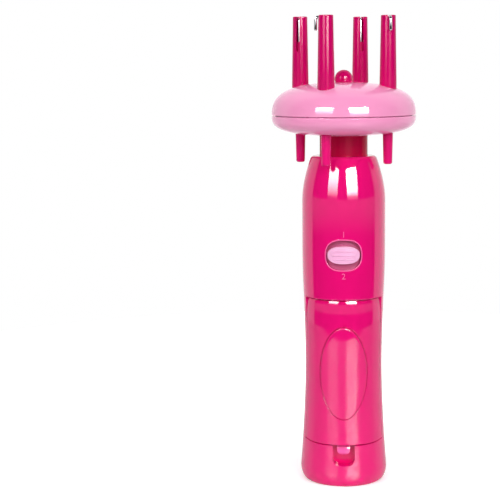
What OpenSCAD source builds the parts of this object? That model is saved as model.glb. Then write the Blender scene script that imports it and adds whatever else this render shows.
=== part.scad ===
// Battery fringe twister: a hand tool with four spinning posts on a head that turns.
// It stands on z = 0 with its axis along Z, and its switch and battery door face -Y.

/* [Handle] */
// Height of the handle up to its shoulder
handle_h = 165.5; // [165.5:0.5:173]
// Radius of the flat that the handle stands on
foot_r = 18.3; // [17:0.1:19.5]
// Radius of the base at its widest
base_r = 21.9; // [21:0.1:23.5]
// Height of the widest part of the base
base_z = 6.9; // [4:0.1:8]
// Radius of the waist
waist_r = 19.4; // [19:0.1:20]
// Height of the waist
waist_z = 60.5; // [50:0.5:66]
// Radius at the seam above the battery door
seam_r = 20.25; // [19.75:0.05:20.75]
// Height of the seam above the battery door
seam_z = 95; // [93:0.5:95]
// Radius of the barrel round the motor
barrel_r = 20.95; // [20.5:0.05:22]
// Height at which the barrel reaches its full radius
barrel_z = 120; // [112:1:130]
// Height at which the shoulder starts to draw in
shoulder_z = 143; // [137:1:147]
// Radius of the shoulder below its rounded rim
shoulder_r = 17.1; // [16.5:0.1:18]
// Height of the shoulder's rounded rim
rim_h = 2.7; // [2:0.1:4]
// Wall of the handle's shells
wall = 2; // [1.6:0.1:2.2]
// Thickness of the floor
floor_t = 2.5; // [2:0.25:4]

/* [Battery door] */
// How far the door's side edges lie in front of the middle plane
door_edge_y = 7; // [4:0.25:8]
// Height of the door's lower edge at the front
door_bottom_z = 21.3; // [19:0.1:22]
// Radius of the roll on the door's upper edge
door_roll = 6; // [3:0.5:8]
// Width of the oval pad
pad_w = 23.2; // [16:0.2:26]
// Length of the oval pad
pad_l = 46.5; // [30:0.5:50]
// Height of the oval pad's middle
pad_z = 58; // [50:0.5:62]
// How far the pad stands out at its top
pad_rise = 1; // [0.5:0.1:1.5]
// How far the pad stands out at its foot
pad_foot = 0.35; // [0.2:0.05:0.5]
// Width of the finger notch in the base
notch_w = 11; // [9:0.1:13]
// Height of the finger notch
notch_h = 10.1; // [8:0.1:10.5]
// Radius of the notch's lower edge
notch_r = 6.7; // [6.6:0.1:9]
// Depth of the notch's floor from the axis
notch_floor_y = 14.8; // [14:0.1:15]
// Width of the latch tongue
latch_w = 6.5; // [4:0.25:8]

/* [Batteries] */
// Radius of a cell
cell_r = 7.25; // [7:0.05:7.3]
// Length of a cell with its nub
cell_l = 50.5; // [49:0.5:51]
// Length of a contact spring under load
contact_l = 6.5; // [5.5:0.25:7]
// Distance of a cell from the middle of the handle
cell_x = 8.2; // [8.1:0.05:8.4]

/* [Switch] */
// Height of the switch's middle
switch_z = 117.5; // [117:0.1:119]
// Width of the switch window
window_w = 17.3; // [17:0.1:19]
// Height of the switch window at its middle
window_h = 14.9; // [14.6:0.1:16]
// Fullness of the window's oval, which is 2 for an ellipse
window_power = 2.6; // [2.6:0.1:4]
// Width of the slider
slider_w = 15.9; // [13:0.1:16]
// Height of the slider
slider_h = 8.5; // [7:0.1:8.6]
// Travel of the slider to each side
switch_travel = 2.5; // [1.5:0.1:2.5]

/* [Motor] */
// Radius of the motor can
motor_r = 10; // [9.5:0.1:10.5]
// Thickness of the motor can across its flats
motor_flat = 15.1; // [14:0.1:15.4]
// Length of the motor
motor_l = 25; // [24:0.5:25]
// Radius of the gearbox
gearbox_r = 13; // [12:0.25:13]
// Height of the gearbox case
gearbox_h = 12; // [10:0.5:12]
// Radius of the drive shaft
shaft_r = 2; // [1.5:0.1:2.5]

/* [Head] */
// Radius of the head
head_r = 36; // [35.5:0.25:42]
// Height of the lower shell
head_low_h = 10.2; // [9.5:0.1:12]
// Height of the upper shell
head_up_h = 16.4; // [16:0.1:20]
// Wall of the head's shells
head_wall = 2; // [1.5:0.1:2.2]
// Radius of the neck
neck_r = 12; // [11.75:0.25:13]
// Length of neck that shows between handle and head
neck_l = 9.9; // [8:0.1:16]
// Radius of the neck's spigot inside the head
spigot_r = 9; // [8.5:0.1:9.2]
// Radius of the knob on the head
knob_r = 4.5; // [3.5:0.1:6]
// How far the knob stands out of the head
knob_rise = 6; // [5:0.1:7]

/* [Posts] */
// How far in from the head's edge the posts stand
post_inset = 12.6; // [12.6:0.1:14]
// Height of the posts above the head
post_h = 32.5; // [29:0.1:45]
// Radius of a post where it leaves the head
post_r = 4.2; // [4:0.05:4.5]
// Radius of a post at its top
post_top_r = 3.6; // [3.4:0.05:3.9]
// Direction of the first post seen from above
post_angle = 158.7; // [0:0.1:360]
// Depth of the slot in a post's wall
slot_l = 17.5; // [14:0.5:20]
// Radius of the hook's wire
wire_r = 0.75; // [0.5:0.05:0.8]
// Length of the hook's outer leg
hook_leg = 6.5; // [4:0.25:8]
// How far a push peg stands out under the head
peg_l = 13.8; // [11:0.1:15]
// Travel of a push peg
peg_travel = 8; // [5:0.25:9]

/* [Gears] */
// Module of the gears
gear_module = 0.9; // [0.88:0.01:0.92]
// Teeth of a post's pinion
pinion_teeth = 16; // [16:1:17]
// Face width of the gears
gear_h = 5; // [4:0.25:5.5]

/* [Clearances] */
// Visible seam between covers
seam_gap = 0.3; // [0.2:0.05:0.5]
// Radial clearance of a shaft that turns
run_fit = 0.05; // [0.02:0.01:0.1]
// Clearance of a piece that slides
slide_fit = 0.2; // [0.15:0.05:0.3]
// Clearance of a piece in its seat
seat_fit = 0.2; // [0.1:0.05:0.3]

/* [Hidden] */
$fn = 96;
big = 60;
curve_steps = 8;

rim_z = handle_h - rim_h;
roof_t = rim_h;
flange_t = 3.5;
flange_z = handle_h - 14.5;
mouth_r = neck_r + seam_gap;
door_len = seam_z - door_bottom_z;
door_hinge_y = -seam_r;
lug_r = seam_r - wall - seam_gap;
lug_t = 1.7;
lug_h = 2.4;
lug_angle = [12, 26];
door_roll_angle = 24;

boss_r = 3.1;
screw_r = 1.25;
screw_fit = 0.1;
screw_head_r = 2.1;
screw_head_h = 1.8;
screw_seat_y = 7;
screw_reach = 8;
base_boss_z = 11;
seam_boss_z = seam_z + 1.2 + boss_r;
top_boss_z = flange_z - boss_r - 0.3;
handle_screw_places = [
  [9, base_boss_z], [-9, base_boss_z],
  [12, seam_boss_z], [-12, seam_boss_z],
  [13, top_boss_z], [-13, top_boss_z]
];

rib_t = 1.5;
motor_cap_h = 4;
motor_boss_r = 3;
motor_boss_h = 1.6;
motor_z = seam_boss_z + boss_r + motor_boss_h;
gearbox_z = motor_z + motor_l + seat_fit;
cover_z = gearbox_z + gearbox_h;
cover_t = 3;
cover_boss_h = 3;
cover_boss_r = 4.5;
shaft_z = gearbox_z + 4;
pan_r = 1.7;
pan_h = 1.2;
gearbox_screw_r = 0.9;
gearbox_screw_l = 5.5;
gearbox_screw_in = 2.6;

contact_t = 0.6;
contact_w = 10;
bridge_w = 3;
bridge_out = 3.4;
box_end_t = 2;
bay_z = door_bottom_z + 3;
bay_l = cell_l + contact_l;
bay_top = bay_z + bay_l;
cell_y = -2.5;
cell_fit = 0.3;
nub_r = 2.75;
nub_h = 1.5;
box_front_y = 2.1 - cell_y;
box_back_y = cell_y + cell_r + cell_fit + 1.5;

slider_out = 0.4;
ridge_out = 0.35;
ridge_h = 0.8;
ridge_pitch = 2.1;
skirt_r = handle_r(switch_z) - wall - 0.4;
skirt_t = 1;
skirt_w = window_w + 3;
skirt_h = window_h + 2 * switch_travel + 1.4;
switch_front_y = -(skirt_r - skirt_t - 2.1);
switch_depth = 5.8;
switch_room_y = motor_flat / 2 + 1;
switch_w = 11;
switch_l = 20;
ear_reach = skirt_h / 2 + switch_travel + 2.4;
ear_t = 1;
ear_screw_r = 1;
ear_screw_l = 2;
ear_w = 6;
ear_end = 1.8;
ear_pan_h = 0.8;
actuator_w = 3.6;
actuator_h = 3;
actuator_in = 1.6;

head_bottom_z = handle_h + neck_l;
head_seam_z = head_bottom_z + head_low_h;
head_top_z = head_seam_z + head_up_h;
up_power = 2.7;
low_power = 3;
hub_floor = [1.2, 2.5];
hub_top = 9;
hub_wall = 2.5;
clutch_t = 2;
clutch_h = 6;
ring_t = 1;
ring_gap_angle = 50;
ring_groove = 0.8;
ring_z = head_bottom_z + hub_top + seam_gap;
spigot_top = ring_z + ring_t + 0.7;
neck_bore_r = shaft_r + 3;
gear_z = spigot_top + 1;
drive_clutch_r = shaft_r + 2.5;
drive_clutch_z = gear_z + gear_h + 0.8;
drive_clutch_h = 5;
top_boss_r = drive_clutch_r + 2.3;
shaft_top = drive_clutch_z + drive_clutch_h + 0.2;
stem_r = 2;
stem_z = shaft_top + 0.3;

gear_angle = 20;
gear_backlash = 0.08;
sun_teeth = floor(2 * (head_r - post_inset) / gear_module - pinion_teeth + 0.001);
post_circle = gear_module * (sun_teeth + pinion_teeth) / 2;
ratio = sun_teeth / pinion_teeth;
post_angles = [for (i = [0:3]) post_angle + 90 * i];
hook_angles = [71, 180, -78, 102];
post_top = head_top_z + post_h;
journal_r = 3.5;
journal_z = head_bottom_z + 1.2;
post_boss_r = 6;
low_boss_top = head_bottom_z + 7.5;
post_step_z = low_boss_top + seam_gap;
post_flange_r = post_r + 1;
post_flange_t = 1.4;
chamber_r = 2.8;
chamber_top = head_top_z + 8;
guide_r = 1.95;
slot_w = 2 * wire_r + 0.4;
notch_depth = 2 * wire_r + 0.5;

rod_r = guide_r - slide_fit;
collar_r = chamber_r - slide_fit / 2;
collar_z = head_bottom_z + 6;
collar_h = 3;
peg_r = 2.5;
peg_tip_r = 2.2;
peg_round = 1;
rod_top = post_top - slot_l + 5;
hook_drop = wire_r + 0.3;
hook_bend = 1.2;
hook_stem_u = -0.95;
hook_gap = 0.65;
hook_leg_u = post_top_r + hook_gap + wire_r;

spring_wire_r = 0.25;
spring_r = 2.2;
spring_turns = 8;
curl_rings = 8;

head_screw_inset = 12;
head_screw_circle = head_r - head_screw_inset;
head_boss_r = 3.6;
head_screw_r = 1.3;
head_screw_seat = head_bottom_z + 6;
head_screw_top = head_seam_z + 8;

wiring_r = 0.6;

// Radius of the handle's outside at a height
function handle_r(z) =
  z < base_z ? foot_r + (base_r - foot_r) * sqrt(1 - pow((base_z - z) / base_z, 2))
  : z < waist_z ? waist_r + (base_r - waist_r) * pow((waist_z - z) / (waist_z - base_z), 1.7)
  : z < seam_z ? waist_r + (seam_r - waist_r) * pow((z - waist_z) / (seam_z - waist_z), 1.7)
  : z < barrel_z ? barrel_r - (barrel_r - seam_r) * pow((barrel_z - z) / (barrel_z - seam_z), 2)
  : z < shoulder_z ? barrel_r
  : z < rim_z ? barrel_r - (barrel_r - shoulder_r) * pow((z - shoulder_z) / (rim_z - shoulder_z), 1.8)
  : shoulder_r - rim_h * (1 - sqrt(1 - pow(min(1, (z - rim_z) / rim_h), 2)));

// Heights from a up to, but not at, b
function between(a, b, n) = [for (i = [0:n - 1]) a + (b - a) * i / n];
function handle_heights(low, high) = [
  for (z = concat(
    [for (i = [0:4]) base_z * (1 - cos(18 * i))],
    between(base_z, waist_z, curve_steps), between(waist_z, seam_z, curve_steps),
    between(seam_z, barrel_z, curve_steps), between(barrel_z, shoulder_z, 1),
    between(shoulder_z, rim_z, curve_steps), [for (i = [0:5]) rim_z + rim_h * sin(18 * i)]
  )) if (z > low && z < high) z
];

// Outline of a shell of the head: a flattened round with a fuller edge
function head_curve(r, h, power) = [
  for (i = [0:16]) let (a = 90 * i / 16) [r * pow(cos(a), 2 / power), h * pow(sin(a), 2 / power)]
];
function oval(w, h, power, n) = [
  for (i = [0:n - 1]) let (a = 360 * i / n, c = cos(a), s = sin(a))
    [w / 2 * sign(c) * pow(abs(c), 2 / power), h / 2 * sign(s) * pow(abs(s), 2 / power)]
];

// Involute gear outline with a tooth on the X axis
function inv(a) = tan(a) * 180 / PI - a;
function tooth_half(r, n) = let (pitch = gear_module * n / 2, base = pitch * cos(gear_angle))
  90 / n + inv(gear_angle) - inv(acos(min(1, base / max(r, base)))) - gear_backlash / pitch * 180 / PI;
function gear_outline(n) = let (
  pitch = gear_module * n / 2, base = pitch * cos(gear_angle), tip = pitch + 0.95 * gear_module,
  root = pitch - 1.25 * gear_module, low = max(base, root),
  radii = [root, low, (low + pitch) / 2, pitch, (pitch + tip) / 2, tip]
) [
  for (k = [0:n - 1], side = [-1, 1], i = [0:len(radii) - 1])
    let (r = radii[side < 0 ? i : len(radii) - 1 - i], a = 360 * k / n + side * tooth_half(r, n))
      r * [cos(a), sin(a)]
];
function pinion_phase(a) = a + 180 - (180 - sun_teeth * a) / pinion_teeth;

// Round tube along points: each ring lies across the path, and side is a direction off the path
function unit(v) = v / norm(v);
function path_dir(p, i) = unit(p[min(i + 1, len(p) - 1)] - p[max(i - 1, 0)]);
function ring_points(p, i, r, n, side) = let (
  d = path_dir(p, i), u = unit(cross(d, side)), v = cross(d, u)
) [for (k = [0:n - 1]) p[i] + r * (cos(360 * k / n) * u + sin(360 * k / n) * v)];

module tube(p, r, n, side) {
  rings = [for (i = [0:len(p) - 1], q = ring_points(p, i, r, n, side)) q];
  last = (len(p) - 1) * n;
  walls = [
    for (i = [0:len(p) - 2], k = [0:n - 1]) let (a = i * n + k, b = i * n + (k + 1) % n)
      each [[a, a + n, b + n], [a, b + n, b]]
  ];
  ends = [for (k = [1:n - 2]) each [[0, k, k + 1], [last, last + k + 1, last + k]]];
  polyhedron(rings, concat(walls, ends), convexity = 6);
}

function helix(r0, r1, h, turns) = [
  for (i = [0:turns * curl_rings]) let (t = i / (turns * curl_rings), a = 360 * turns * t, r = r0 + (r1 - r0) * t)
    [r * cos(a), r * sin(a), h * t]
];

module front_half() {
  translate([-big, -big, -1]) cube([2 * big, big, handle_h + 2]);
}

module rear_half() {
  translate([-big, 0, -1]) cube([2 * big, big, handle_h + 2]);
}

module handle_body() {
  rotate_extrude() polygon(concat(
    [[0, 0], [foot_r, 0]], [for (z = handle_heights(0, handle_h)) [handle_r(z), z]],
    [[shoulder_r - rim_h, handle_h], [0, handle_h]]
  ));
}

module handle_space(inset, low, high) {
  heights = concat([low], handle_heights(low, high), [high]);
  rotate_extrude() polygon(concat([[0, low]], [for (z = heights) [handle_r(z) - inset, z]], [[0, high]]));
}

module saddle(z, hole) {
  translate([0, 0, z]) difference() {
    cylinder(r = handle_r(z) - wall / 2, h = rib_t);
    translate([0, 0, -1]) cylinder(r = hole, h = rib_t + 2);
  }
}

module handle_wall() {
  difference() {
    handle_body();
    handle_space(wall, floor_t, handle_h - roof_t);
    translate([0, 0, handle_h - roof_t - 1]) cylinder(r = mouth_r, h = roof_t + 2);
  }
}

// Saddles that hold the motor and gearbox, and a pair that traps the neck's flange
module saddles() {
  saddle(motor_z + 1.2, motor_r + seat_fit);
  saddle(motor_z + motor_l - 2.5, motor_r + seat_fit);
  saddle(gearbox_z + 2.6, gearbox_r + seat_fit);
  saddle(cover_z - 2.2, gearbox_r + seat_fit);
  saddle(flange_z - rib_t - seat_fit, neck_r + 2);
  saddle(flange_z + flange_t + seat_fit, neck_r + 1);
}

module screw_bosses(side) {
  intersection() {
    handle_body();
    for (p = handle_screw_places)
      translate([p[0], 0, p[1]]) rotate([-90 * side, 0, 0]) cylinder(r = boss_r, h = base_r);
  }
}

module handle_screw_holes() {
  for (p = handle_screw_places) translate([p[0], 0, p[1]]) rotate([-90, 0, 0]) {
    translate([0, 0, -screw_reach - 1]) cylinder(r = screw_r + screw_fit, h = screw_reach + screw_seat_y + 2);
    translate([0, 0, screw_seat_y]) cylinder(r = screw_head_r + 2 * screw_fit, h = base_r);
  }
}

module rear_shell() {
  color("#d6186f") difference() {
    union() {
      intersection() {
        union() {
          handle_wall();
          saddles();
        }
        rear_half();
      }
      screw_bosses(1);
    }
    handle_screw_holes();
  }
}

module facing_front(z, from_y, to_y) {
  translate([0, -to_y, z]) rotate([90, 0, 0]) linear_extrude(from_y - to_y) children();
}

// Space of the battery door: its lower edge turns about the hinge, so that it swings out clear
module door_space(gap) {
  intersection() {
    translate([-big, -big, 0]) cube([2 * big, big - door_edge_y - gap, seam_z - gap]);
    translate([0, door_hinge_y, seam_z]) rotate([0, 90, 0])
      cylinder(r = door_len - gap, h = 2 * big, center = true);
  }
}

module notch_outline(grow) {
  top = 6;
  intersection() {
    translate([-notch_w / 2 - grow, -notch_h - grow]) square([notch_w + 2 * grow, notch_h + grow + top]);
    union() {
      translate([0, notch_r - notch_h]) circle(r = notch_r + grow);
      translate([-big, notch_r - notch_h]) square([2 * big, big]);
    }
  }
}

module front_shell() {
  pocket_wall = 1.5;
  color("#d6186f") difference() {
    union() {
      difference() {
        intersection() {
          union() {
            handle_wall();
            saddles();
          }
          front_half();
        }
        // Room behind the switch window
        intersection() {
          handle_space(wall, seam_z, handle_h - roof_t);
          translate([-skirt_w / 2 - 1.5, -big, seam_z])
            cube([skirt_w + 3, big - switch_room_y, switch_z + ear_reach + 3 - seam_z]);
        }
      }
      screw_bosses(-1);
      // Pads that carry the switch
      intersection() {
        handle_body();
        for (s = [-1, 1]) translate([0, switch_front_y, switch_z + s * ear_reach])
          rotate([90, 0, 0]) cylinder(r = ear_screw_r + 0.9, h = 10);
      }
      // Pocket of the finger notch
      intersection() {
        handle_body();
        facing_front(door_bottom_z, big, notch_floor_y - pocket_wall) notch_outline(pocket_wall);
      }
    }
    handle_screw_holes();
    door_space(0);
    facing_front(switch_z, big, switch_room_y) polygon(oval(window_w, window_h, window_power, 72));
    facing_front(door_bottom_z, big, notch_floor_y) notch_outline(0);
    for (s = [-1, 1]) translate([0, switch_front_y - ear_screw_l - 0.6, switch_z + s * ear_reach])
      rotate([-90, 0, 0]) cylinder(r = ear_screw_r, h = ear_screw_l + 2);
  }
}

module pad_solid() {
  low = pad_z - pad_l / 2;
  heights = concat([low - 1], [for (i = [0:12]) low + pad_l * i / 12], [low + pad_l + 1]);
  function proud(z) = pad_foot + (pad_rise - pad_foot) * (z - low) / pad_l;
  intersection() {
    rotate_extrude() polygon(concat(
      [[waist_r - wall / 2, low - 1]], [for (z = heights) [handle_r(z) + proud(z), z]],
      [[waist_r - wall / 2, low + pad_l + 1]]
    ));
    facing_front(pad_z, big, 0) polygon(oval(pad_w, pad_l, 2, 48));
  }
}

module battery_door() {
  top = seam_z - seam_gap;
  roll_z = top - door_roll * sin(door_roll_angle);
  roll_r = handle_r(roll_z);
  color("#dc1c74") {
    difference() {
      intersection() {
        handle_wall();
        door_space(seam_gap);
      }
      // Rolled upper edge
      rotate_extrude() polygon(concat(
        [[roll_r + 1, top + 0.01], [roll_r + 1, roll_z]],
        [for (i = [0:4]) let (a = door_roll_angle * i / 4)
          [roll_r - door_roll * (1 - cos(a)), roll_z + door_roll * sin(a)]],
        [[roll_r - door_roll * (1 - cos(door_roll_angle)), top + 0.01]]
      ));
    }
    pad_solid();
    // Lugs that hook in behind the front shell
    for (s = [-1, 1]) rotate([0, 0, -90 + s * (lug_angle[0] + lug_angle[1]) / 2 - (lug_angle[1] - lug_angle[0]) / 2])
      rotate_extrude(angle = lug_angle[1] - lug_angle[0]) polygon([
        [lug_r - lug_t, top - 4], [lug_r + wall / 2, top - 6], [lug_r + wall / 2, top - 0.5],
        [lug_r, top - 0.5], [lug_r, seam_z + lug_h], [lug_r - lug_t, seam_z + lug_h]
      ]);
  }
}

module door_latch() {
  root = seat_fit - sqrt(pow(handle_r(door_bottom_z + 5) - wall, 2) - pow(latch_w / 2, 2));
  lip = root - 1.7;
  low = door_bottom_z - 4.4;
  color("#f0408c") translate([-latch_w / 2, 0, 0]) rotate([90, 0, 90]) linear_extrude(latch_w) polygon([
    [root, door_bottom_z + 5], [root, door_bottom_z + 0.3], [lip + 0.3, door_bottom_z - 0.5],
    [lip, door_bottom_z - 1.2], [lip, low + 1], [lip + 0.6, low + 0.2], [lip + 1.4, low],
    [root + 0.7, low + 0.4], [root + 1, low + 1.2], [root + 1, door_bottom_z + 5]
  ]);
}

module cell_places() {
  for (s = [-1, 1]) translate([s * cell_x, cell_y, 0]) children();
}

module battery_box() {
  low = bay_z - contact_t - box_end_t;
  high = bay_top + contact_t + box_end_t;
  color("#303034") difference() {
    intersection() {
      handle_space(wall + seat_fit, low, high);
      translate([-big, -box_front_y, 0]) cube([2 * big, big, handle_h]);
    }
    cell_places() translate([0, 0, low + box_end_t]) {
      cylinder(r = cell_r + cell_fit, h = bay_l + 2 * contact_t);
      translate([-cell_r - cell_fit, -big, 0]) cube([2 * (cell_r + cell_fit), big, bay_l + 2 * contact_t]);
    }
    translate([-big, box_back_y, low + 2 * box_end_t]) cube([2 * big, big, high - low - 4 * box_end_t]);
  }
}

// A cell that stands on its flat end, with its nub up
module cell(jacket) {
  color(jacket) {
    cylinder(r = cell_r, h = cell_l - nub_h);
    translate([0, 0, cell_l - nub_h]) cylinder(r = nub_r, h = nub_h);
  }
}

module battery_1() {
  translate([-cell_x, cell_y, bay_top - cell_l]) cell("#3a3d44");
}

module battery_2() {
  translate([cell_x, cell_y, bay_z + cell_l]) rotate([180, 0, 0]) cell("#3a3d44");
}

module contact_plate(x) {
  translate([x - contact_w / 2, cell_y - contact_w / 2, 0]) cube([contact_w, contact_w, contact_t]);
}

module contact_bridge() {
  color("silver") translate([0, 0, bay_z - contact_t]) {
    contact_plate(-cell_x);
    contact_plate(cell_x);
    translate([-cell_x, -box_front_y - bridge_out, 0]) cube([2 * cell_x, bridge_w, contact_t]);
  }
}

module contact_positive() {
  color("silver") translate([0, 0, bay_top]) contact_plate(-cell_x);
}

module contact_negative() {
  color("silver") translate([0, 0, bay_top]) contact_plate(cell_x);
}

module contact_spring() {
  wire = 0.35;
  turns = 4;
  points = helix(4.2, 2.4, contact_l - 2 * wire - 0.1, turns);
  translate([0, 0, wire + 0.05]) tube(points, wire, 6, [0, 0, 1]);
}

module lower_spring() {
  color("silver") translate([-cell_x, cell_y, bay_z]) contact_spring();
}

module upper_spring() {
  color("silver") translate([cell_x, cell_y, bay_top]) rotate([180, 0, 0]) contact_spring();
}

module handle_screws() {
  color("silver") for (p = handle_screw_places) translate([p[0], 0, p[1]]) rotate([-90, 0, 0]) {
    translate([0, 0, -screw_reach]) cylinder(r = screw_r, h = screw_reach + screw_seat_y);
    translate([0, 0, screw_seat_y]) cylinder(r = screw_head_r, h = screw_head_h);
  }
}

module motor_section() {
  intersection() {
    circle(r = motor_r);
    square([2 * motor_r, motor_flat], center = true);
  }
}

module motor_can() {
  color("#b8bcc0") {
    translate([0, 0, motor_z + motor_cap_h]) linear_extrude(motor_l - motor_cap_h) motor_section();
    translate([0, 0, motor_z + motor_l]) cylinder(r = motor_boss_r, h = motor_boss_h);
  }
}

module motor_cap() {
  color("white") {
    translate([0, 0, motor_z]) linear_extrude(motor_cap_h) motor_section();
    translate([0, 0, motor_z - motor_boss_h]) cylinder(r = motor_boss_r, h = motor_boss_h);
  }
}

module gearbox_screw_places() {
  for (a = [45:90:315]) rotate([0, 0, a]) translate([gearbox_r - gearbox_screw_in, 0, 0]) children();
}

module gearbox_case() {
  color("#2c2c30") difference() {
    translate([0, 0, gearbox_z]) cylinder(r = gearbox_r, h = gearbox_h);
    translate([0, 0, gearbox_z - 1]) cylinder(r = motor_boss_r + seat_fit, h = motor_boss_h + 1 + seat_fit);
    translate([0, 0, shaft_z - 0.3]) cylinder(r = shaft_r + run_fit, h = gearbox_h);
    gearbox_screw_places() translate([0, 0, cover_z - gearbox_screw_l - 0.5])
      cylinder(r = gearbox_screw_r + screw_fit, h = gearbox_screw_l + 1);
  }
}

module gearbox_cover() {
  color("#3c3c42") difference() {
    translate([0, 0, cover_z]) {
      cylinder(r = gearbox_r, h = cover_t);
      cylinder(r = cover_boss_r, h = cover_t + cover_boss_h);
    }
    translate([0, 0, cover_z - 1]) cylinder(r = shaft_r + run_fit, h = cover_t + cover_boss_h + 2);
    gearbox_screw_places() translate([0, 0, cover_z - 1]) cylinder(r = gearbox_screw_r + screw_fit, h = cover_t + 2);
  }
}

module gearbox_screws() {
  color("silver") gearbox_screw_places() {
    translate([0, 0, cover_z - gearbox_screw_l]) cylinder(r = gearbox_screw_r, h = cover_t + gearbox_screw_l);
    translate([0, 0, cover_z + cover_t]) cylinder(r = pan_r, h = pan_h);
  }
}

module switch_body() {
  slot_h = actuator_h + 2 * switch_travel + 2 * slide_fit;
  color("#26262a") translate([0, switch_front_y, switch_z]) difference() {
    union() {
      translate([-switch_w / 2, 0, -switch_l / 2]) cube([switch_w, switch_depth, switch_l]);
      translate([-ear_w / 2, 0, -ear_reach - ear_end]) cube([ear_w, ear_t, 2 * (ear_reach + ear_end)]);
    }
    translate([-actuator_w / 2 - slide_fit, -1, -slot_h / 2])
      cube([actuator_w + 2 * slide_fit, actuator_in + slide_fit + 1, slot_h]);
    for (s = [-1, 1]) translate([0, -1, s * ear_reach]) rotate([-90, 0, 0])
      cylinder(r = ear_screw_r, h = ear_t + 2);
  }
}

module switch_screws() {
  color("silver") for (s = [-1, 1]) translate([0, switch_front_y, switch_z + s * ear_reach]) rotate([-90, 0, 0]) {
    translate([0, 0, -ear_screw_l]) cylinder(r = ear_screw_r - screw_fit, h = ear_t + ear_screw_l);
    translate([0, 0, ear_t]) cylinder(r = pan_r, h = ear_pan_h);
  }
}

module switch_actuator() {
  color("#f4f4f4") translate([-actuator_w / 2, 0, switch_z - actuator_h / 2]) {
    front = -(skirt_r - skirt_t - 0.15);
    translate([0, front, 0]) cube([actuator_w, switch_front_y + actuator_in - front, actuator_h]);
  }
}

module switch_slider() {
  skirt_angle = asin(skirt_w / 2 / skirt_r);
  face_r = handle_r(switch_z) + slider_out;
  color("#ffb4dc") {
    intersection() {
      facing_front(switch_z, big, skirt_r / 2) polygon(oval(slider_w, slider_h, 2.4, 48));
      translate([0, 0, switch_z - slider_h]) difference() {
        cylinder(r = face_r, h = 2 * slider_h);
        translate([0, 0, -1]) cylinder(r = skirt_r - skirt_t / 2, h = 2 * slider_h + 2);
      }
    }
    intersection() {
      facing_front(switch_z, big, skirt_r) polygon(oval(slider_w - 2.4, slider_h - 1.2, 2.4, 48));
      for (s = [-1, 0, 1]) translate([0, 0, switch_z + s * ridge_pitch - ridge_h / 2])
        cylinder(r = face_r + ridge_out, h = ridge_h);
    }
    rotate([0, 0, -90 - skirt_angle]) rotate_extrude(angle = 2 * skirt_angle)
      translate([skirt_r - skirt_t, switch_z - skirt_h / 2]) square([skirt_t, skirt_h]);
  }
}

module wiring() {
  back = switch_front_y + switch_depth + wiring_r + 0.1;
  box_top = bay_top + contact_t + box_end_t;
  color("#c03030") for (s = [-1, 1]) {
    tube([
      [s * cell_x, cell_y, box_top], [s * cell_x, cell_y, box_top + 4], [s * 6, back / 2 + cell_y / 2, box_top + 8],
      [s * 3.6, back, motor_z - 4], [s * 3.6, back, switch_z - 6]
    ], wiring_r, 8, [1, 0.2, 0]);
    tube([
      [s * 1.4, back, switch_z - 4], [s * 1.4, back, motor_z - 3.5], [s * 3, back / 2, motor_z - 5.5],
      [s * 6.5, 1, motor_z - 3.5], [s * 6.5, 1, motor_z]
    ], wiring_r, 8, [1, 0.2, 0]);
  }
}

module neck_tube() {
  color("#c2125f") difference() {
    union() {
      translate([0, 0, flange_z]) cylinder(r = handle_r(flange_z + flange_t) - wall - seat_fit, h = flange_t);
      translate([0, 0, flange_z]) cylinder(r = neck_r, h = head_bottom_z + hub_floor[0] - 0.4 - flange_z);
      translate([0, 0, flange_z]) cylinder(r = spigot_r, h = spigot_top - flange_z);
    }
    translate([0, 0, flange_z - 1]) cylinder(r = neck_bore_r, h = spigot_top - flange_z + 2);
    translate([0, 0, ring_z - 0.05]) difference() {
      cylinder(r = spigot_r + 1, h = ring_t + 0.1);
      translate([0, 0, -1]) cylinder(r = spigot_r - ring_groove, h = ring_t + 3);
    }
  }
}

module retaining_ring() {
  color("#8a8d92") translate([0, 0, ring_z]) rotate([0, 0, ring_gap_angle / 2])
    rotate_extrude(angle = 360 - ring_gap_angle)
      translate([spigot_r - ring_groove + run_fit, 0]) square([ring_groove + 1.4, ring_t]);
}

module head_screw_places() {
  for (a = post_angles) rotate([0, 0, a + 45]) translate([head_screw_circle, 0, 0]) children();
}

module post_places() {
  for (a = post_angles) rotate([0, 0, a]) translate([post_circle, 0, 0]) children();
}

module upper_form(inset) {
  rotate_extrude() polygon(concat([[0, 0]], head_curve(head_r - inset, head_up_h - inset, up_power)));
}

module lower_form(inset) {
  mirror([0, 0, 1]) rotate_extrude() polygon(concat([[0, 0]], head_curve(head_r - inset, head_low_h - inset, low_power)));
}

module head_top_shell() {
  inner = head_up_h - head_wall;
  color("#ff9cc8") difference() {
    union() {
      translate([0, 0, head_seam_z]) difference() {
        upper_form(0);
        upper_form(head_wall);
        translate([0, 0, -1]) cylinder(r = 2 * head_r, h = 1 + seam_gap / 2);
      }
      intersection() {
        translate([0, 0, head_seam_z]) upper_form(head_wall / 2);
        union() {
          translate([0, 0, drive_clutch_z]) cylinder(r = top_boss_r, h = head_up_h);
          post_places() translate([0, 0, gear_z + gear_h + 1]) cylinder(r = post_boss_r, h = head_up_h);
          head_screw_places() translate([0, 0, head_seam_z]) cylinder(r = head_boss_r, h = head_up_h);
        }
      }
    }
    translate([0, 0, drive_clutch_z - 1]) cylinder(r = drive_clutch_r + 0.02, h = drive_clutch_h + 1);
    translate([0, 0, drive_clutch_z]) cylinder(r = stem_r + run_fit, h = 2 * head_up_h);
    post_places() translate([0, 0, head_seam_z - 1]) cylinder(r = post_r + run_fit, h = 2 * head_up_h);
    head_screw_places() translate([0, 0, head_seam_z - 1])
      cylinder(r = head_screw_r + screw_fit, h = head_screw_top - head_seam_z + 1.3);
  }
}

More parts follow.
